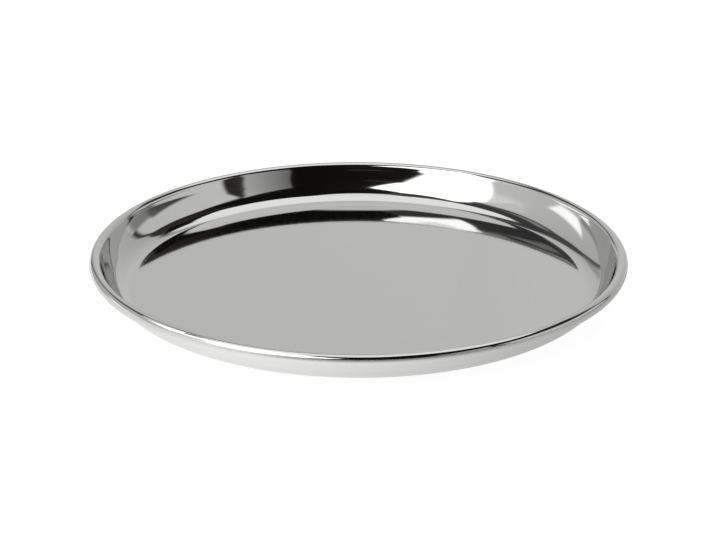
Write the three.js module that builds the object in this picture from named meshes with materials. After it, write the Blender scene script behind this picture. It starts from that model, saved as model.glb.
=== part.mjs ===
// Round metal serving tray: one drawn and polished sheet whose edge is rolled round a steel hoop.
// Millimetres and degrees, +Z up. The origin is the middle of the underside, which lies on the table.
import * as THREE from 'three';

// Driving dimensions of the tray
const trayDiameter = 380;
const trayHeight = 26;
const sheetThickness = 1.2;

// The wall leaves the flat base in a cove, then straightens up in one long bow
const coveRadius = 18;
const wallLeanAtFoot = 36;
const wallLeanAtRim = 17;

// The edge of the sheet is rolled round a hoop of wire, and its raw edge stops short of the wall
const wireDiameter = 5.3;
const wireClearance = 0.3;
const rawEdgeGap = 0.3;

// Facets
const segmentsAround = 96;
const coveSteps = 7;
const wallSteps = 3;
const rollSteps = 16;
const wireSides = 12;

// Finishes
const polishedSteel = new THREE.MeshStandardMaterial({ color: 0xc9c9c6, roughness: 0.08, metalness: 1 });
const drawnWire = new THREE.MeshStandardMaterial({ color: 0x8d8d8a, roughness: 0.45, metalness: 1 });

const degrees = THREE.MathUtils.degToRad;

// Sizes that follow from the driving dimensions
const footLean = degrees(wallLeanAtFoot);
const rimLean = degrees(wallLeanAtRim);
const rollInnerRadius = wireDiameter / 2 + wireClearance;
const rollRadius = rollInnerRadius + sheetThickness;
const rollCentre = new THREE.Vector2(trayDiameter / 2 - rollRadius, trayHeight - rollRadius);

// The wall meets the roll in a tangent, and its bow closes the height that the cove and the roll leave
const wallTop = new THREE.Vector2(-Math.cos(rimLean), Math.sin(rimLean)).multiplyScalar(rollRadius).add(rollCentre);
const coveTopHeight = sheetThickness + coveRadius * (1 - Math.sin(footLean));
const wallRadius = (wallTop.y - coveTopHeight) / (Math.sin(footLean) - Math.sin(rimLean));
const wallCentre = new THREE.Vector2(Math.cos(rimLean), -Math.sin(rimLean)).multiplyScalar(-wallRadius).add(wallTop);
const wallFoot = new THREE.Vector2(Math.cos(footLean), -Math.sin(footLean)).multiplyScalar(wallRadius).add(wallCentre);
const coveCentre = new THREE.Vector2(wallFoot.x - coveRadius * Math.cos(footLean), sheetThickness + coveRadius);

// The roll closes on the wall's back face, apart from the slit that the raw edge leaves
const rollOpening = Math.acos((rollInnerRadius - rawEdgeGap) / rollRadius);
const rollStart = Math.PI - rimLean;
const rollEnd = rollStart - (2 * Math.PI - rollOpening);

// Points along an arc of the polished face, each with its unit normal into the air
function arcStations(centre, radius, startAngle, endAngle, steps, isHollow) {
  const stations = [];
  for (let i = 0; i <= steps; i += 1) {
    const angle = startAngle + ((endAngle - startAngle) * i) / steps;
    const outward = new THREE.Vector2(Math.cos(angle), Math.sin(angle));
    const point = outward.clone().multiplyScalar(radius).add(centre);
    const normal = isHollow ? outward.negate() : outward;
    stations.push({ point, normal });
  }
  return stations;
}

// The polished face from the middle of the base to the raw edge
function polishedFace() {
  const baseMiddle = { point: new THREE.Vector2(0, sheetThickness), normal: new THREE.Vector2(0, 1) };
  const cove = arcStations(coveCentre, coveRadius, -Math.PI / 2, -footLean, coveSteps, true);
  const wall = arcStations(wallCentre, wallRadius, -footLean, -rimLean, wallSteps, true);
  const roll = arcStations(rollCentre, rollRadius, rollStart, rollEnd, rollSteps, false);
  return [baseMiddle, ...cove, ...wall.slice(1), ...roll.slice(1)];
}

// The sheet: its back face lies one thickness behind the polished face, and the raw edge joins them
function makeTrayPan() {
  const face = polishedFace();
  const back = face.map(({ point, normal }) => point.clone().addScaledVector(normal, -sheetThickness));
  const front = face.map(({ point }) => point);
  const geometry = new THREE.LatheGeometry([...back, ...front.reverse()], segmentsAround);
  geometry.rotateX(Math.PI / 2);
  const mesh = new THREE.Mesh(geometry, polishedSteel);
  mesh.name = 'tray_pan';
  return mesh;
}

// The hoop that stiffens the rim, butt-welded into one ring
function makeRimWire() {
  const geometry = new THREE.TorusGeometry(rollCentre.x, wireDiameter / 2, wireSides, segmentsAround);
  const mesh = new THREE.Mesh(geometry, drawnWire);
  mesh.name = 'rim_wire';
  mesh.position.z = rollCentre.y;
  return mesh;
}

const tray = new THREE.Group();
tray.name = 'serving_tray';
tray.add(makeTrayPan(), makeRimWire());

export default tray;
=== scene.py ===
"""Dresses the round metal serving tray: a drawn and polished sheet whose edge is rolled round a steel hoop.

Metres and radians, +Z up, but the studio's panels are in degrees and its cards in millimetres.
The origin is the middle of the underside, which lies on the table.
"""
import logging
import math
from dataclasses import dataclass
from enum import Enum

import bpy
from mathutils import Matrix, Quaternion, Vector


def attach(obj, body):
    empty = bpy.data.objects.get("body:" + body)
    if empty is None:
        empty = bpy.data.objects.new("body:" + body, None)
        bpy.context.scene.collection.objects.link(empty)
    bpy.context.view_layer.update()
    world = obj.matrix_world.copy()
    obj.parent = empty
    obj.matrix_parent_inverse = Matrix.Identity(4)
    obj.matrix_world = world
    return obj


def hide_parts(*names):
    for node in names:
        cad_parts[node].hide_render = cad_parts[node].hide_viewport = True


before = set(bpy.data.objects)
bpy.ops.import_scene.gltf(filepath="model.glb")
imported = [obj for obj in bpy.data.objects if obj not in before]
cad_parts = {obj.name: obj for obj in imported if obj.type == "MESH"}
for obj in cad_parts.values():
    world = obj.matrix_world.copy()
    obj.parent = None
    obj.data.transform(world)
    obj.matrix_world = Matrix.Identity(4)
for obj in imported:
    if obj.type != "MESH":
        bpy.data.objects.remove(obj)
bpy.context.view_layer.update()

log = logging.getLogger("serving_tray")

MILLIMETRE = 0.001
# Points that are closer than this are one point
TOUCHING = 0.001 * MILLIMETRE
# Edges that turn further than this stay sharp
HARD_CORNER = math.radians(40)
HALF_TURN = 180.0
FACE_MARK = "face"
BODY = "root"

Pair = tuple[float, float]
Point = tuple[float, float, float]
Colour = tuple[float, float, float, float]
# A soft step: where it starts, where it ends, and the value up to its start and from its end on
Step = tuple[float, float, float, float]


class Slot(Enum):
    """The record's material slots."""

    SHEET = "polished_sheet"
    WIRE = "drawn_wire"


class Face(Enum):
    """The two faces of the sheet, by the mark that the profile carries."""

    SERVING = 0.0
    BACK = 1.0


class Term:
    """A number that a node tree works out, so that a formula reads as plain arithmetic."""

    def __init__(self, writer: "TreeWriter", socket: bpy.types.NodeSocket) -> None:
        """Keeps the output that carries the number, and the writer of its tree."""
        self.writer = writer
        self.socket = socket

    def __add__(self, other: "Term | float") -> "Term":
        """The sum."""
        return self.writer.math("ADD", self, other)

    def __sub__(self, other: "Term | float") -> "Term":
        """The difference."""
        return self.writer.math("SUBTRACT", self, other)

    def __rsub__(self, other: float) -> "Term":
        """The difference, from a plain number."""
        return self.writer.math("SUBTRACT", other, self)

    def __mul__(self, other: "Term | float") -> "Term":
        """The product."""
        return self.writer.math("MULTIPLY", self, other)

    def __truediv__(self, other: "Term | float") -> "Term":
        """The quotient."""
        return self.writer.math("DIVIDE", self, other)

    def __neg__(self) -> "Term":
        """The same number with the other sign."""
        return self.writer.math("MULTIPLY", self, -1.0)

    def sine(self) -> "Term":
        """Sine of the angle."""
        return self.writer.math("SINE", self)

    def cosine(self) -> "Term":
        """Cosine of the angle."""
        return self.writer.math("COSINE", self)


Feed = Term | bpy.types.NodeSocket | float | int | str | tuple | bpy.types.Material
# A point of a profile, outwards and upwards from the middle of the roll
ProfilePoint = tuple[Feed, Feed]
# A finish, and the faces that it covers
Coat = tuple[bpy.types.NodeSocket, Feed]


class TreeWriter:
    """Writes nodes and links into one node tree."""

    def __init__(self, tree: bpy.types.NodeTree) -> None:
        """Starts on a shader or geometry tree."""
        self.tree = tree

    def node(self, kind: str, settings: dict[str, object] | None = None, **feeds: Feed) -> bpy.types.Node:
        """Adds one node.

        Args:
            kind: Blender's name for the kind of node.
            settings: properties of the node.
            **feeds: what goes into each input, named with underscores for spaces.

        Returns:
            The new node.
        """
        made = self.tree.nodes.new(kind)
        for name, value in (settings or {}).items():
            setattr(made, name, value)
        for name, feed in feeds.items():
            self.feed(made.inputs[name.replace("_", " ")], feed)
        return made

    def feed(self, target: bpy.types.NodeSocket, feed: Feed) -> None:
        """Links a socket or sets its value.

        Args:
            target: the input.
            feed: a term or an output to link, or a plain value to set.
        """
        if isinstance(feed, Term):
            feed = feed.socket
        if isinstance(feed, bpy.types.NodeSocket):
            self.tree.links.new(feed, target)
        else:
            target.default_value = feed

    def math(self, operation: str, *feeds: Term | float) -> Term:
        """Adds one step of arithmetic.

        Args:
            operation: Blender's name for the operation.
            *feeds: its operands.

        Returns:
            The result.
        """
        made = self.node("ShaderNodeMath", {"operation": operation})
        for target, feed in zip(made.inputs, feeds):
            self.feed(target, feed)
        return Term(self, made.outputs[0])

    def vector(self, x: Feed, y: Feed, z: Feed = 0.0) -> bpy.types.NodeSocket:
        """Joins three numbers into a vector."""
        return self.node("ShaderNodeCombineXYZ", X=x, Y=y, Z=z).outputs[0]

    def smooth(self, value: Feed, low: Feed, high: Feed, at_low: Feed = 0.0, at_high: Feed = 1.0) -> Term:
        """Adds a soft step from one value to another.

        Args:
            value: the number that moves the step.
            low: where the step starts.
            high: where the step ends.
            at_low: the result up to the start.
            at_high: the result from the end on.

        Returns:
            The result.
        """
        made = self.node("ShaderNodeMapRange", {"interpolation_type": "SMOOTHSTEP"}, Value=value)
        for name, feed in (("From Min", low), ("From Max", high), ("To Min", at_low), ("To Max", at_high)):
            self.feed(made.inputs[name], feed)
        return Term(self, made.outputs[0])

    def tone(self, amount: Feed, low: Feed, high: Feed) -> bpy.types.NodeSocket:
        """Mixes two colours.

        Args:
            amount: 0 for the first colour, 1 for the second.
            low: the first colour.
            high: the second colour.

        Returns:
            The output that carries the colour.
        """
        mix = self.node("ShaderNodeMix", {"data_type": "RGBA"})
        # The node has sockets for every kind of data, and these are the ones for colours
        for number, feed in ((0, amount), (6, low), (7, high)):
            self.feed(mix.inputs[number], feed)
        return mix.outputs[2]


class SurfaceWriter(TreeWriter):
    """Writes a steel surface, with noise that runs round the tray's axis as lathe work does."""

    def __init__(self, material: bpy.types.Material) -> None:
        """Empties the material's tree and works out where a point lies on the tray.

        Args:
            material: the material to write.
        """
        material.use_nodes = True
        super().__init__(material.node_tree)
        self.tree.nodes.clear()
        place = self.node("ShaderNodeTexCoord").outputs["Object"]
        split = self.node("ShaderNodeSeparateXYZ", Vector=place)
        x, y, z = (Term(self, output) for output in split.outputs)
        self.place = place
        self.height = z
        self.radius = self.math("SQRT", x * x + y * y)
        reach = self.math("MAXIMUM", self.radius, MILLIMETRE)
        self.along_x = x / reach
        self.along_y = y / reach

    def rings(self, width: float, turns: float, detail: float = 2.0) -> Term:
        """Noise in rings about the axis, without a seam.

        Args:
            width: how wide a ring is, in metres.
            turns: how often a ring changes on its way round.
            detail: how many finer layers it has.

        Returns:
            The noise, about 0 to 1.
        """
        across = self.vector(self.along_x * turns, self.along_y * turns, self.radius / width)
        settings = {"noise_dimensions": "4D"}
        noise = self.node("ShaderNodeTexNoise", settings, Vector=across, W=self.height / width, Detail=detail)
        noise.inputs["Scale"].default_value = 1.0
        return Term(self, noise.outputs[0])

    def clouds(self, width: float, detail: float = 2.0) -> Term:
        """Noise in soft patches of a width in metres, about 0 to 1, with finer layers."""
        noise = self.node("ShaderNodeTexNoise", None, Vector=self.place, Scale=1.0 / width, Detail=detail)
        return Term(self, noise.outputs[0])

    def relief(self, layers: list[tuple[Term, float]]) -> bpy.types.NodeSocket:
        """Stacks heights into one normal.

        Args:
            layers: noise and its depth in metres, one pair for each layer.

        Returns:
            The output that carries the normal.
        """
        normal = None
        for noise, depth in layers:
            bump = self.node("ShaderNodeBump", None, Height=noise, Strength=1.0, Distance=depth)
            if normal is not None:
                self.feed(bump.inputs["Normal"], normal)
            normal = bump.outputs[0]
        return normal

    def steel(self, colour: Feed, roughness: Feed, normal: Feed, grain: float) -> None:
        """Ends the material in one steel shader.

        Args:
            colour: what the steel reflects.
            roughness: how far it scatters.
            normal: its relief.
            grain: how much further it scatters across the rings than along them.
        """
        shader = self.node("ShaderNodeBsdfPrincipled", None, Metallic=1.0, Normal=normal)
        self.feed(shader.inputs["Base Color"], colour)
        self.feed(shader.inputs["Roughness"], roughness)
        self.feed(shader.inputs["Anisotropic"], grain)
        tangent = self.node("ShaderNodeTangent", {"direction_type": "RADIAL", "axis": "Z"})
        self.feed(shader.inputs["Tangent"], tangent.outputs[0])
        self.node("ShaderNodeOutputMaterial", None, Surface=shader.outputs[0])


@dataclass(frozen=True)
class MirrorSteel:
    """Mirror polish of the serving face: faint rings from the mop, a soft wave, rubbed at the rim's crown.

    The mop doesn't reach round the rim, so the outside of the roll stays satin.
    """

    name: str = "mirror_steel"
    bright: Colour = (0.605, 0.604, 0.600, 1.0)
    dull: Colour = (0.585, 0.583, 0.578, 1.0)
    roughness: float = 0.045
    grain: float = 0.3
    mop_width: float = 0.5 * MILLIMETRE
    mop_depth: float = 0.00003 * MILLIMETRE
    mop_turns: float = 3.0
    haze_width: float = 3 * MILLIMETRE
    haze_turns: float = 1.5
    haze_layers: float = 3.0
    haze_roughness: float = 0.03
    wave_width: float = 55 * MILLIMETRE
    wave_depth: float = 0.004 * MILLIMETRE
    wave_layers: float = 1.0
    crown: Pair = (25.2 * MILLIMETRE, 26 * MILLIMETRE)
    rub_width: float = 4 * MILLIMETRE
    rub_layers: float = 3.0
    rubbed_roughness: float = 0.05
    satin: Colour = (0.60, 0.60, 0.595, 1.0)
    satin_roughness: float = 0.42
    polish_ends: Pair = (165.4 * MILLIMETRE, 166.1 * MILLIMETRE)
    roll_foot: Pair = (14 * MILLIMETRE, 16 * MILLIMETRE)

    def material(self) -> bpy.types.Material:
        """Writes the finish as a material.

        Returns:
            The material.
        """
        made = bpy.data.materials.new(self.name)
        write = SurfaceWriter(made)
        mop = write.rings(self.mop_width, self.mop_turns)
        haze = write.rings(self.haze_width, self.haze_turns, self.haze_layers)
        rubbed = write.smooth(write.height, *self.crown) * write.clouds(self.rub_width, self.rub_layers)
        # Radius less height grows round the roll, from the crown to its outside
        outside = write.smooth(write.radius - write.height, *self.polish_ends)
        outside = outside * write.smooth(write.height, *self.roll_foot)
        worn = haze * self.haze_roughness + rubbed * self.rubbed_roughness
        roughness = worn + outside * self.satin_roughness + self.roughness
        wave = write.clouds(self.wave_width, self.wave_layers)
        normal = write.relief([(wave, self.wave_depth), (mop, self.mop_depth)])
        polished = write.tone(haze, self.bright, self.dull)
        write.steel(write.tone(outside, polished, self.satin), roughness, normal, self.grain)
        return made


@dataclass(frozen=True)
class SatinSteel:
    """Satin finish of the back: brushed in rings on a lathe, darkened at the foot with painted shade, scuffed
    where it lies.
    """

    name: str = "satin_steel"
    bright: Colour = (0.61, 0.61, 0.605, 1.0)
    dull: Colour = (0.56, 0.56, 0.555, 1.0)
    # Painted shade: the darker colour that the foot takes
    painted_foot_shade: Colour = (0.44, 0.44, 0.435, 1.0)
    roughness: float = 0.24
    grain: float = 0.5
    brush_width: float = 0.35 * MILLIMETRE
    brush_depth: float = 0.0004 * MILLIMETRE
    brush_turns: float = 2.0
    brush_layers: float = 3.0
    band_width: float = 3.15 * MILLIMETRE
    band_turns: float = 1.0
    band_layers: float = 3.0
    band_roughness: float = 0.14
    band_share: float = 0.6
    patch_width: float = 45 * MILLIMETRE
    patch_share: float = 0.4
    scuff_height: float = 0.3 * MILLIMETRE
    scuff_width: float = 2.5 * MILLIMETRE
    scuff_layers: float = 5.0
    scuffed_roughness: float = 0.12
    # Heights over which the painted shade at the foot fades out
    painted_foot_shade_band: Pair = (1.2 * MILLIMETRE, 4.5 * MILLIMETRE)

    def material(self) -> bpy.types.Material:
        """Writes the finish as a material.

        Returns:
            The material.
        """
        made = bpy.data.materials.new(self.name)
        write = SurfaceWriter(made)
        brush = write.rings(self.brush_width, self.brush_turns, self.brush_layers)
        bands = write.rings(self.band_width, self.band_turns, self.band_layers)
        patches = write.clouds(self.patch_width)
        lying = write.smooth(write.height, 0.0, self.scuff_height, 1.0, 0.0)
        scuffs = lying * write.clouds(self.scuff_width, self.scuff_layers)
        roughness = bands * self.band_roughness + scuffs * self.scuffed_roughness + self.roughness
        colour = write.tone(bands * self.band_share + patches * self.patch_share, self.bright, self.dull)
        # Painted shade: the back darkens towards the foot, standing in for the shadowed table that the foot
        # mirrors
        colour = write.tone(write.smooth(write.height, *self.painted_foot_shade_band), self.painted_foot_shade, colour)
        write.steel(colour, roughness, write.relief([(brush, self.brush_depth)]), self.grain)
        return made


@dataclass(frozen=True)
class DrawnSteel:
    """Bright wire with the long marks that the drawing die leaves."""

    name: str = "drawn_steel"
    bright: Colour = (0.56, 0.56, 0.55, 1.0)
    dull: Colour = (0.44, 0.435, 0.425, 1.0)
    roughness: float = 0.28
    grain: float = 0.4
    mark_width: float = 0.25 * MILLIMETRE
    mark_depth: float = 0.002 * MILLIMETRE
    mark_turns: float = 2.0
    mark_layers: float = 3.0
    mark_roughness: float = 0.2

    def material(self) -> bpy.types.Material:
        """Writes the finish as a material.

        Returns:
            The material.
        """
        made = bpy.data.materials.new(self.name)
        write = SurfaceWriter(made)
        marks = write.rings(self.mark_width, self.mark_turns, self.mark_layers)
        roughness = marks * self.mark_roughness + self.roughness
        normal = write.relief([(marks, self.mark_depth)])
        write.steel(write.tone(marks, self.bright, self.dull), roughness, normal, self.grain)
        return made


class ShapeWriter(TreeWriter):
    """Writes a tree that makes one piece from named sizes."""

    def __init__(self, name: str) -> None:
        """Starts an empty tree that gives one mesh.

        Args:
            name: the tree's name.
        """
        super().__init__(bpy.data.node_groups.new(name, "GeometryNodeTree"))
        self.tree.interface.new_socket("Piece", in_out="OUTPUT", socket_type="NodeSocketGeometry")
        self.source = self.node("NodeGroupInput")
        self.settings: dict[str, object] = {}

    def size(self, label: str, value: float) -> Term:
        """Adds a named size to the tree, in metres or radians."""
        return Term(self, self.entry(label, "NodeSocketFloat", value))

    def entry(self, label: str, kind: str, value: object) -> bpy.types.NodeSocket:
        """Adds a named input to the tree.

        Args:
            label: what the modifier calls it.
            kind: Blender's name for the kind of socket.
            value: what the modifier sets it to.

        Returns:
            The output of the tree's input node.
        """
        socket = self.tree.interface.new_socket(label, in_out="INPUT", socket_type=kind)
        self.settings[socket.identifier] = value
        return self.source.outputs[label]

    def line(self, start: ProfilePoint, end: ProfilePoint, count: int) -> bpy.types.NodeSocket:
        """Adds a straight run of the profile.

        Args:
            start: its first point.
            end: its last point.
            count: how many points it has.

        Returns:
            The output that carries the run.
        """
        settings = {"mode": "END_POINTS"}
        run = self.node("GeometryNodeMeshLine", settings, Count=count, Start_Location=self.vector(*start))
        self.feed(run.inputs["Offset"], self.vector(*end))
        return run.outputs[0]

    def arc(self, centre: ProfilePoint, radius: Feed, start: Feed, sweep: Feed,
            count: int) -> bpy.types.NodeSocket:
        """Adds a round run of the profile.

        Args:
            centre: the middle of the arc.
            radius: its radius.
            start: the angle of its first point.
            sweep: the angle that it turns through.
            count: how many points it has.

        Returns:
            The output that carries the run.
        """
        settings = {"mode": "RADIUS"}
        run = self.node("GeometryNodeCurveArc", settings, Resolution=count, Radius=radius, Start_Angle=start)
        self.feed(run.inputs["Sweep Angle"], sweep)
        place = self.vector(*centre)
        moved = self.node("GeometryNodeTransform", None, Geometry=run.outputs[0], Translation=place)
        return self.node("GeometryNodeCurveToMesh", None, Curve=moved.outputs[0]).outputs[0]

    def chain(self, runs: list[bpy.types.NodeSocket]) -> bpy.types.NodeSocket:
        """Joins runs that meet end to end.

        Args:
            runs: the outputs that carry them.

        Returns:
            The output that carries the chain.
        """
        joined = self.node("GeometryNodeJoinGeometry")
        for run in runs:
            self.feed(joined.inputs[0], run)
        return joined.outputs[0]

    def marked(self, shape: bpy.types.NodeSocket, face: Face) -> bpy.types.NodeSocket:
        """Marks the points of a run with the face of the sheet that they belong to.

        Args:
            shape: the output that carries the run.
            face: the face.

        Returns:
            The output that carries the marked run.
        """
        settings = {"data_type": "FLOAT", "domain": "POINT"}
        mark = self.node("GeometryNodeStoreNamedAttribute", settings, Geometry=shape, Name=FACE_MARK)
        self.feed(mark.inputs["Value"], face.value)
        return mark.outputs[0]

    def merged(self, shape: bpy.types.NodeSocket) -> bpy.types.NodeSocket:
        """Makes points that touch one point."""
        return self.node("GeometryNodeMergeByDistance", None, Geometry=shape, Distance=TOUCHING).outputs[0]

    def circle(self, radius: Feed, count: int) -> bpy.types.NodeSocket:
        """Adds a circle.

        Args:
            radius: its radius.
            count: how many points it has.

        Returns:
            The output that carries the circle.
        """
        settings = {"mode": "RADIUS"}
        made = self.node("GeometryNodeCurvePrimitiveCircle", settings, Resolution=count, Radius=radius)
        return made.outputs[0]

    def hoop(self, radius: Term, height: Term, count: int) -> bpy.types.NodeSocket:
        """The hoop's centre line, which every profile is swept along.

        Args:
            radius: its radius.
            height: how high it lies.
            count: how many points it has.

        Returns:
            The output that carries the path.
        """
        raised = self.node("GeometryNodeTransform", None, Geometry=self.circle(radius, count))
        self.feed(raised.inputs["Translation"], self.vector(0.0, 0.0, height))
        upright = self.node("GeometryNodeSetCurveNormal", {"mode": "Z_UP"}, Curve=raised.outputs[0])
        return upright.outputs[0]

    def swept(self, path: bpy.types.NodeSocket, profile: bpy.types.NodeSocket) -> bpy.types.NodeSocket:
        """Sweeps a profile along the hoop's centre line and closes the poles.

        Args:
            path: the output that carries the path.
            profile: the output that carries the profile.

        Returns:
            The output that carries the surface.
        """
        # A sweep turns a profile's second axis down: the profile is turned over before it, the faces after
        turned = self.node("GeometryNodeTransform", None, Geometry=profile, Scale=(1.0, -1.0, 1.0))
        skin = self.node("GeometryNodeCurveToMesh", None, Curve=path, Profile_Curve=turned.outputs[0])
        outward = self.node("GeometryNodeFlipFaces", None, Mesh=skin.outputs[0])
        return self.merged(outward.outputs[0])

    def finish(self, shape: bpy.types.NodeSocket, coats: list[Coat]) -> None:
        """Ends the tree: smooth but for hard corners, made real, and given its materials.

        Args:
            shape: the output that carries the surface.
            coats: materials, each with the faces that it covers.
        """
        corner = self.node("GeometryNodeInputMeshEdgeAngle")
        is_soft = self.math("LESS_THAN", Term(self, corner.outputs[0]), HARD_CORNER)
        shaded = self.node("GeometryNodeSetShadeSmooth", {"domain": "EDGE"}, Geometry=shape)
        self.feed(shaded.inputs["Shade Smooth"], is_soft)
        shape = self.node("GeometryNodeRealizeInstances", None, Geometry=shaded.outputs[0]).outputs[0]
        for coat, cover in coats:
            made = self.node("GeometryNodeSetMaterial", None, Geometry=shape, Selection=cover, Material=coat)
            shape = made.outputs[0]
        self.node("NodeGroupOutput", None, Piece=shape)

    def piece(self, name: str) -> bpy.types.Object:
        """Runs the tree and keeps what it makes as a plain mesh.

        Args:
            name: the piece's name.

        Returns:
            The finished piece, at the origin.
        """
        made = bpy.data.objects.new(name, bpy.data.meshes.new(name))
        bpy.context.scene.collection.objects.link(made)
        maker = made.modifiers.new("shape", "NODES")
        maker.node_group = self.tree
        for identifier, value in self.settings.items():
            maker[identifier] = value
        ready = made.evaluated_get(bpy.context.evaluated_depsgraph_get())
        mesh = bpy.data.meshes.new_from_object(ready)
        made.modifiers.remove(maker)
        made.data = mesh
        mesh.name = name
        return made


@dataclass(frozen=True)
class TraySizes:
    """The tray's driving sizes, which both pieces share."""

    diameter: float = 380 * MILLIMETRE
    height: float = 26 * MILLIMETRE
    sheet: float = 1.2 * MILLIMETRE
    cove: float = 18 * MILLIMETRE
    lean_at_foot: float = math.radians(36)
    lean_at_rim: float = math.radians(17)
    wire: float = 5.3 * MILLIMETRE
    wire_clearance: float = 0.3 * MILLIMETRE
    raw_edge_gap: float = 0.3 * MILLIMETRE


@dataclass
class TrayPan:
    """The drawn sheet: flat base, cove, bowed wall and an edge rolled round the hoop."""

    sizes: TraySizes
    serving_finish: MirrorSteel
    back_finish: SatinSteel
    around: int = 256
    base_rings: int = 20
    cove_points: int = 25
    wall_points: int = 17
    roll_points: int = 57
    flat_margin: float = 0.4 * MILLIMETRE

    def shape(self, write: ShapeWriter) -> bpy.types.NodeSocket:
        """Works out the sheet's profile and sweeps it along the hoop's centre line.

        Args:
            write: the piece's tree.

        Returns:
            The output that carries the surface.
        """
        sizes = self.sizes
        diameter = write.size("Tray diameter", sizes.diameter)
        height = write.size("Tray height", sizes.height)
        sheet = write.size("Sheet thickness", sizes.sheet)
        cove = write.size("Cove radius", sizes.cove)
        foot = write.size("Wall lean at foot", sizes.lean_at_foot)
        rim = write.size("Wall lean at rim", sizes.lean_at_rim)
        wire = write.size("Wire diameter", sizes.wire)
        clearance = write.size("Wire clearance", sizes.wire_clearance)
        gap = write.size("Raw edge gap", sizes.raw_edge_gap)

        # Profile points are measured from the middle of the roll, outwards and upwards
        roll_hollow = wire / 2 + clearance
        roll = roll_hollow + sheet
        hoop_radius = diameter / 2 - roll
        hoop_height = height - roll
        top_out = -(roll * rim.cosine())
        top_up = roll * rim.sine()
        floor_up = sheet - hoop_height
        cove_top_up = floor_up + cove * (1 - foot.sine())
        wall = (top_up - cove_top_up) / (foot.sine() - rim.sine())
        wall_middle = (top_out - wall * rim.cosine(), top_up + wall * rim.sine())
        foot_out = wall_middle[0] + wall * foot.cosine()
        cove_middle = (foot_out - cove * foot.cosine(), floor_up + cove)
        slit = write.math("ARCCOSINE", (roll_hollow - gap) / roll)
        roll_start = math.pi - rim
        roll_sweep = slit - 2 * math.pi

        def face_runs(behind: Term | float) -> list[bpy.types.NodeSocket]:
            """Runs of one face from the middle of the base to the raw edge.

            Args:
                behind: how far the face lies behind the serving face.

            Returns:
                The outputs that carry the runs.
            """
            up = floor_up - behind
            flat_end = cove_middle[0] - self.flat_margin
            middle = -hoop_radius
            return [
                write.line((middle, up), (flat_end, up), self.base_rings),
                write.line((flat_end, up), (cove_middle[0], up), 2),
                write.arc(cove_middle, cove + behind, -math.pi / 2, math.pi / 2 - foot, self.cove_points),
                write.arc(wall_middle, wall + behind, -foot, foot - rim, self.wall_points),
                write.arc((0.0, 0.0), roll - behind, roll_start, roll_sweep, self.roll_points),
            ]

        edge_angle = roll_start + roll_sweep
        edge_out = edge_angle.cosine()
        edge_up = edge_angle.sine()
        outer_corner = (roll * edge_out, roll * edge_up)
        inner_corner = (roll_hollow * edge_out, roll_hollow * edge_up)
        raw_edge = write.line(outer_corner, inner_corner, 2)
        front = write.marked(write.chain(face_runs(0.0)), Face.SERVING)
        back = write.marked(write.chain([*face_runs(sheet), raw_edge]), Face.BACK)
        outline = write.merged(write.chain([front, back]))
        profile = write.node("GeometryNodeMeshToCurve", None, Mesh=outline)
        path = write.hoop(hoop_radius, hoop_height, self.around)
        return write.swept(path, profile.outputs[0])

    def dress(self, write: ShapeWriter) -> list[Coat]:
        """Polishes the serving face and brushes the back.

        Args:
            write: the piece's tree.

        Returns:
            Both finishes.
        """
        serving = write.entry("Serving finish", "NodeSocketMaterial", self.serving_finish.material())
        backing = write.entry("Back finish", "NodeSocketMaterial", self.back_finish.material())
        mark = write.node("GeometryNodeInputNamedAttribute", {"data_type": "FLOAT"}, Name=FACE_MARK)
        halfway = (Face.SERVING.value + Face.BACK.value) / 2
        is_back = write.math("GREATER_THAN", Term(write, mark.outputs[0]), halfway)
        return [(serving, True), (backing, is_back)]

    def build(self) -> bpy.types.Object:
        """Makes the sheet and dresses both faces.

        Returns:
            The finished piece.
        """
        write = ShapeWriter("tray_pan_shape")
        skin = self.shape(write)
        write.finish(skin, self.dress(write))
        made = write.piece("polished_pan")
        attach(made, BODY)
        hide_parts("tray_pan")
        return made


@dataclass
class RimWire:
    """The hoop of drawn wire inside the rolled edge."""

    sizes: TraySizes
    finish: DrawnSteel
    around: int = 256
    sides: int = 32

    def shape(self, write: ShapeWriter) -> bpy.types.NodeSocket:
        """Sweeps the wire's section along the hoop's centre line.

        Args:
            write: the piece's tree.

        Returns:
            The output that carries the surface.
        """
        sizes = self.sizes
        diameter = write.size("Tray diameter", sizes.diameter)
        height = write.size("Tray height", sizes.height)
        sheet = write.size("Sheet thickness", sizes.sheet)
        wire = write.size("Wire diameter", sizes.wire)
        clearance = write.size("Wire clearance", sizes.wire_clearance)
        roll = wire / 2 + clearance + sheet
        path = write.hoop(diameter / 2 - roll, height - roll, self.around)
        return write.swept(path, write.circle(wire / 2, self.sides))

    def dress(self, write: ShapeWriter) -> list[Coat]:
        """Gives the whole hoop its finish."""
        return [(write.entry("Finish", "NodeSocketMaterial", self.finish.material()), True)]

    def build(self) -> bpy.types.Object:
        """Makes the hoop and dresses it.

        Returns:
            The finished piece.
        """
        write = ShapeWriter("rim_wire_shape")
        skin = self.shape(write)
        write.finish(skin, self.dress(write))
        made = write.piece("rim_hoop")
        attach(made, BODY)
        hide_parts("rim_wire")
        return made


@dataclass(frozen=True)
class Panel:
    """One panel of the studio as the tray sees it, in degrees round from the camera and above the table.

    Left and right edges are given at the foot and at the head, and the glow at the left and at the right.
    """

    name: str
    left: Pair
    right: Pair
    foot: float
    head: float
    glow: Pair
    blur: float = 1.5
    tilt: float = 0.0
    tint: tuple[float, float, float] = (1.0, 1.0, 1.0)

    def colour(self, side: int) -> Colour:
        """The light that it gives at its left edge, side 0, or its right edge, side 1."""
        red, green, blue = (part * self.glow[side] for part in self.tint)
        return (red, green, blue, 1.0)


WARM = (1.0, 0.9, 0.8)

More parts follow.
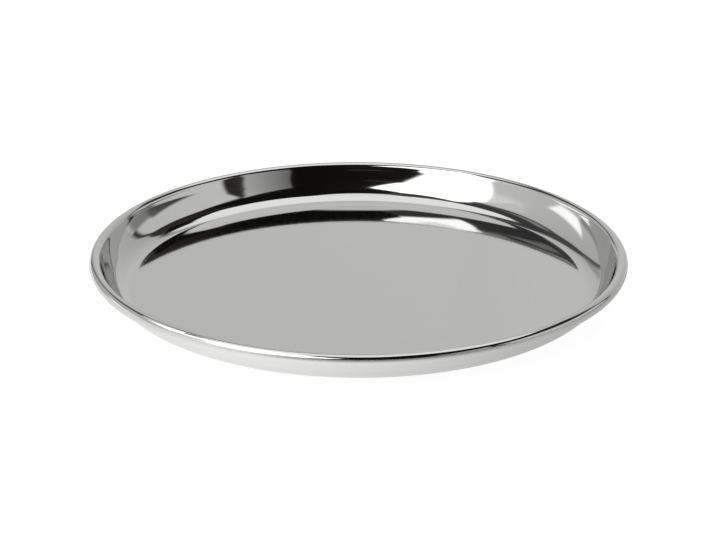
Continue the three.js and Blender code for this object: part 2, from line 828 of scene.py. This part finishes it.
# Each panel hangs in front of those before it
PANELS = (
    Panel("low_surround", (-200, -200), (200, 200), -10, 6, (0.5, 0.5), 3.0),
    Panel("left_ceiling", (-205, -205), (-28, -28), 34, 82, (0.05, 0.07), 3.0),
    Panel("back_wall", (129, 129), (178, 178), 1, 39.5, (0.58, 0.77), 2.0),
    Panel("back_wall_left", (176, 176), (207, 207), 1, 39.5, (0.76, 0.62), 2.0),
    Panel("back_pillar", (199, 199), (206, 206), 8, 27, (0.42, 0.42), 3.0),
    Panel("back_gap", (160, 160), (190, 190), 39, 47, (0.5, 0.12), 3.0),
    Panel("top_light", (-200, -200), (200, 200), 80, 100, (1.15, 1.15), 2.0),
    Panel("back_light", (146, 113), (206, 228), 49, 58, (1.22, 1.22), 2.0),
    Panel("back_light_high", (120, 70), (223, 290), 56, 84, (1.22, 1.22), 2.0),
    Panel("back_light_foot", (152, 148), (172, 180), 42, 51, (1.15, 1.15), 2.0),
    Panel("left_wall", (-153, -147), (-58, -58), 0, 45, (0.58, 0.82), tilt=0.2),
    Panel("left_screen", (-88, -92), (-60, -60), 26, 48, (1.0, 1.0), 7.0),
    Panel("left_counter", (-148, -148), (-118, -120), 0, 5.5, (0.34, 0.34)),
    Panel("left_window", (-116, -128), (-103, -98), 4, 14.2, (1.6, 1.6), 2.0),
    Panel("left_rail", (-142, -138), (-118, -96), 43.5, 48.5, (0.3, 0.3), tilt=0.15),
    Panel("soft_box", (-61.5, -77), (10, -10), 8, 52, (2.5, 2.5), 2.0),
    Panel("soft_box_head", (-72.5, -91), (-5, -30), 50, 66, (2.5, 2.5), 2.0),
    Panel("front_ceiling", (-32, -32), (35, 35), 53, 66, (0.012, 0.008), tilt=-0.33, tint=WARM),
    Panel("dark_room_low", (-20, -31), (34, 34), 6, 20, (0.012, 0.006), 2.0, tint=WARM),
    Panel("dark_room_middle", (-31.5, -23), (34, 34), 18, 39, (0.012, 0.006), 2.0, tint=WARM),
    Panel("dark_room_high", (-23.5, 5), (37, 37), 37, 60, (0.012, 0.006), 2.0, tint=WARM),
    Panel("right_screen", (30.5, 36.5), (60, 66), 10, 43, (0.2, 0.68), 0.7),
    Panel("right_wall", (64, 67), (129, 129), 0, 41, (0.82, 0.74), 2.0),
    Panel("right_soffit", (95, 95), (131, 131), 35, 54, (0.02, 0.04), 2.0, tilt=-0.4, tint=WARM),
    Panel("back_corner", (128, 128), (131, 147), 30, 41, (0.04, 0.04), 2.0),
    Panel("door_frame", (53.5, 58.5), (64.5, 68.5), 11, 31, (0.05, 0.02), tint=WARM),
    Panel("door_head", (58, 64), (68.5, 66.5), 29.5, 41.5, (0.05, 0.02), tint=WARM),
    Panel("right_counter", (105, 105), (126, 126), 0, 12, (0.26, 0.33), 2.5),
    Panel("right_shelf", (107, 81), (111, 111), 4, 14.5, (0.04, 0.16), 2.0),
    Panel("right_post", (124, 126), (128.5, 130), 11, 36, (0.05, 0.05)),
    Panel("left_post", (-153.5, -156), (-151.5, -149), 6, 30, (0.16, 0.16), 2.0),
    Panel("left_corner", (-157, -164), (-148, -134), 28, 42, (0.09, 0.09), 3.0),
)


@dataclass(frozen=True)
class Card:
    """A flat card that stands near the tray, by its corners in millimetres."""

    name: str
    corners: tuple[Point, ...]
    glow: float


CARDS = (
    Card("near_soft_box",
         ((-540, -140, 340), (-400, 0, 520), (-230, -60, 615), (-120, -300, 568), (-330, -450, 330)), 1.8),
    Card("rim_soft_box", ((-298, -148, 118), (-260, -52, 143), (-192, -65, 182), (-259, -144, 167)), 1.8),
    Card("rim_card", ((-420, 77, 303), (-279, 181, 315), (-234, 85, 408), (-326, 31, 399)), 0.82),
    Card("dark_card", ((-300, -480, 5), (-100, -610, 5), (-100, -610, 290), (-300, -480, 290)), 0.01),
)


@dataclass
class Studio:
    """A pale light table in a studio of plain panels and cards, and the camera."""

    distance: float = 1.8
    elevation: float = math.radians(22.05)
    roll: float = math.radians(0.167)
    aim: Point = (-0.0003, 0.0, 0.0101)
    lens: float = 127.15
    sensor: float = 36.0
    far_end: float = 200.0
    dark: Colour = (0.008, 0.0075, 0.007, 1.0)
    white: Colour = (1.2, 1.2, 1.2, 1.0)
    table_reach: float = 30.0
    table_colour: Colour = (0.22, 0.22, 0.22, 1.0)
    table_roughness: float = 0.9
    table_light: Colour = (1.0, 1.0, 1.0, 1.0)
    # Painted light on the glow that the tray mirrors: brighter to the left, where the soft box falls, and
    # fading again at the far left
    table_painted_light_across: Step = (-0.10, 0.22, 1.27, 0.59)
    table_painted_light_left: Step = (-0.19, -0.09, 0.82, 1.0)
    # Painted shadow: the glow dips round the tray's foot
    table_painted_foot_shadow: Step = (0.158, 0.182, 0.8, 1.0)
    table_seen: float = 0.97

    def build(self) -> None:
        """Makes the light, the table, the cards and the camera."""
        scene = bpy.context.scene
        scene.view_settings.view_transform = "Standard"
        scene.cycles.caustics_reflective = False
        self.light(scene)
        self.table(scene)
        for card in CARDS:
            self.stand(scene, card)
        self.camera(scene)

    def light(self, scene: bpy.types.Scene) -> None:
        """Lights the scene from the panels, and shows the camera a plain white room.

        Args:
            scene: the scene to light.
        """
        world = bpy.data.worlds.new("studio")
        scene.world = world
        world.use_nodes = True
        write = TreeWriter(world.node_tree)
        write.tree.nodes.clear()
        group = self.panel_group()
        view = write.node("ShaderNodeTexCoord").outputs["Generated"]
        x, y, z = (Term(write, output) for output in write.node("ShaderNodeSeparateXYZ", Vector=view).outputs)
        azimuth = write.math("DEGREES", write.math("ARCTAN2", x, -y))
        elevation = write.math("DEGREES", write.math("ARCSINE", z))
        behind = self.dark
        for panel in PANELS:
            behind = self.hang(write, group, panel, azimuth, elevation, behind)
        # The backdrop is a plain white room, and the panels light the tray and show in its mirror
        seen = write.node("ShaderNodeLightPath").outputs["Is Camera Ray"]
        studio = write.node("ShaderNodeBackground", None, Color=behind)
        room = write.node("ShaderNodeBackground", None, Color=self.white)
        mixed = write.node("ShaderNodeMixShader", None, Fac=seen)
        write.feed(mixed.inputs[1], studio.outputs[0])
        write.feed(mixed.inputs[2], room.outputs[0])
        write.node("ShaderNodeOutputWorld", None, Surface=mixed.outputs[0])

    def hang(self, write: TreeWriter, group: bpy.types.NodeTree, panel: Panel, azimuth: Term, elevation: Term,
             behind: Feed) -> bpy.types.NodeSocket:
        """Hangs one panel in front of what is behind it.

        Args:
            write: the world's tree.
            group: the node group that draws a panel.
            panel: the panel.
            azimuth: where the ray goes, round from the camera.
            elevation: where the ray goes, above the table.
            behind: what is seen beside the panel.

        Returns:
            The output that carries the studio up to this panel.
        """
        middle = (sum(panel.left) + sum(panel.right)) / 4
        made = write.node("ShaderNodeGroup", {"node_tree": group, "label": panel.name}, Behind=behind)
        values = {
            "Azimuth": azimuth,
            "Elevation": elevation,
            "Middle": middle,
            "Left foot": panel.left[0] - middle,
            "Left head": panel.left[1] - middle,
            "Right foot": panel.right[0] - middle,
            "Right head": panel.right[1] - middle,
            "Foot": panel.foot,
            "Head": panel.head,
            "Blur": panel.blur,
            "Tilt": panel.tilt,
            "Left glow": panel.colour(0),
            "Right glow": panel.colour(1),
        }
        for name, value in values.items():
            write.feed(made.inputs[name], value)
        return made.outputs[0]

    def panel_group(self) -> bpy.types.NodeTree:
        """The node group that draws one panel.

        Returns:
            The group.
        """
        tree = bpy.data.node_groups.new("studio_panel", "ShaderNodeTree")
        numbers = ("Azimuth", "Elevation", "Middle", "Left foot", "Left head", "Right foot", "Right head")
        for name in (*numbers, "Foot", "Head", "Blur", "Tilt"):
            tree.interface.new_socket(name, in_out="INPUT", socket_type="NodeSocketFloat")
        for name in ("Left glow", "Right glow", "Behind"):
            tree.interface.new_socket(name, in_out="INPUT", socket_type="NodeSocketColor")
        tree.interface.new_socket("Colour", in_out="OUTPUT", socket_type="NodeSocketColor")
        write = TreeWriter(tree)
        source = write.node("NodeGroupInput").outputs
        value = {output.name: Term(write, output) for output in source if output.name}
        blur = value["Blur"]
        round_by = write.math("WRAP", value["Azimuth"] - value["Middle"], HALF_TURN, -HALF_TURN)
        height = value["Elevation"] - round_by * value["Tilt"]
        rise = (height - value["Foot"]) / (value["Head"] - value["Foot"])
        left = value["Left foot"] + (value["Left head"] - value["Left foot"]) * rise
        right = value["Right foot"] + (value["Right head"] - value["Right foot"]) * rise
        inside_left = write.smooth(round_by, left - blur, left + blur)
        inside_right = write.smooth(round_by, right - blur, right + blur, 1.0, 0.0)
        over_foot = write.smooth(height, value["Foot"] - blur, value["Foot"] + blur)
        under_head = write.smooth(height, value["Head"] - blur, value["Head"] + blur, 1.0, 0.0)
        mask = inside_left * inside_right * over_foot * under_head
        across = (round_by - left) / (right - left)
        glow = write.tone(across, value["Left glow"], value["Right glow"])
        write.node("NodeGroupOutput", None, Colour=write.tone(mask, value["Behind"], glow))
        return tree

    def board(self, scene: bpy.types.Scene, name: str,
              corners: list[Vector]) -> tuple[bpy.types.Object, TreeWriter]:
        """Makes a flat board of the stage, with an empty material.

        Args:
            scene: the scene that it stands in.
            name: its name.
            corners: its corners in order.

        Returns:
            The board, and the writer of its material.
        """
        mesh = bpy.data.meshes.new(name)
        mesh.from_pydata(corners, [], [range(len(corners))])
        made = bpy.data.objects.new(name, mesh)
        scene.collection.objects.link(made)
        surface = bpy.data.materials.new(name)
        surface.use_nodes = True
        surface.node_tree.nodes.clear()
        mesh.materials.append(surface)
        return made, TreeWriter(surface.node_tree)

    def table(self, scene: bpy.types.Scene) -> None:
        """Makes the pale light table.

        Args:
            scene: the scene that it stands in.
        """
        square = ((-1, -1), (1, -1), (1, 1), (-1, 1))
        corners = [Vector((x, y, 0.0)) * self.table_reach for x, y in square]
        _, write = self.board(scene, "light_table", corners)
        shader = write.node("ShaderNodeBsdfPrincipled", None, Roughness=self.table_roughness)
        write.feed(shader.inputs["Base Color"], self.table_colour)
        write.feed(shader.inputs["Specular IOR Level"], 0.0)
        write.feed(shader.inputs["Emission Color"], self.table_light)
        place = write.node("ShaderNodeTexCoord").outputs["Object"]
        across = write.node("ShaderNodeSeparateXYZ", None, Vector=place).outputs["X"]
        out = write.node("ShaderNodeVectorMath", {"operation": "LENGTH"}, Vector=place).outputs["Value"]
        # Painted light graded across the table and a painted shadow round the tray's foot, in the glow
        glow = write.smooth(across, *self.table_painted_light_across) * write.smooth(across, *self.table_painted_light_left)
        glow = glow * write.smooth(out, *self.table_painted_foot_shadow)
        # The floor looks even to the camera, and the tray mirrors a table whose glow carries painted light,
        # brighter to the left, and a painted shadow round its foot
        seen = write.node("ShaderNodeLightPath").outputs["Is Camera Ray"]
        evened = write.node("ShaderNodeMix", {"data_type": "FLOAT"})
        # The node has sockets for every kind of data, and these are the ones for numbers
        for number, feed in ((0, seen), (2, glow), (3, self.table_seen)):
            write.feed(evened.inputs[number], feed)
        write.feed(shader.inputs["Emission Strength"], evened.outputs[0])
        write.node("ShaderNodeOutputMaterial", None, Surface=shader.outputs[0])

    def stand(self, scene: bpy.types.Scene, card: Card) -> None:
        """Stands a card near the tray, out of the picture, so that the near rim mirrors it.

        Args:
            scene: the scene that it stands in.
            card: the card.
        """
        corners = [Vector(corner) * MILLIMETRE for corner in card.corners]
        made, write = self.board(scene, card.name, corners)
        made.visible_camera = False
        light = write.node("ShaderNodeEmission", None, Strength=card.glow)
        write.node("ShaderNodeOutputMaterial", None, Surface=light.outputs[0])

    def camera(self, scene: bpy.types.Scene) -> None:
        """Sets the camera at the photograph's viewing angle.

        Args:
            scene: the scene to look at.
        """
        data = bpy.data.cameras.new("view")
        data.lens = self.lens
        data.sensor_width = self.sensor
        data.clip_end = self.far_end
        made = bpy.data.objects.new("view", data)
        scene.collection.objects.link(made)
        made.location = Vector((0.0, -math.cos(self.elevation), math.sin(self.elevation))) * self.distance
        facing = (Vector(self.aim) - made.location).to_track_quat("-Z", "Y")
        made.rotation_euler = (facing @ Quaternion((0.0, 0.0, 1.0), self.roll)).to_euler()
        scene.camera = made


def main() -> None:
    """Builds the tray and the studio."""
    logging.basicConfig(level=logging.INFO, format="%(name)s: %(message)s")
    sizes = TraySizes()
    pieces = (TrayPan(sizes, MirrorSteel(), SatinSteel()), RimWire(sizes, DrawnSteel()))
    for piece in pieces:
        made = piece.build()
        log.info("%s: %d faces", made.name, len(made.data.polygons))
    Studio().build()


if __name__ == "__main__":
    main()
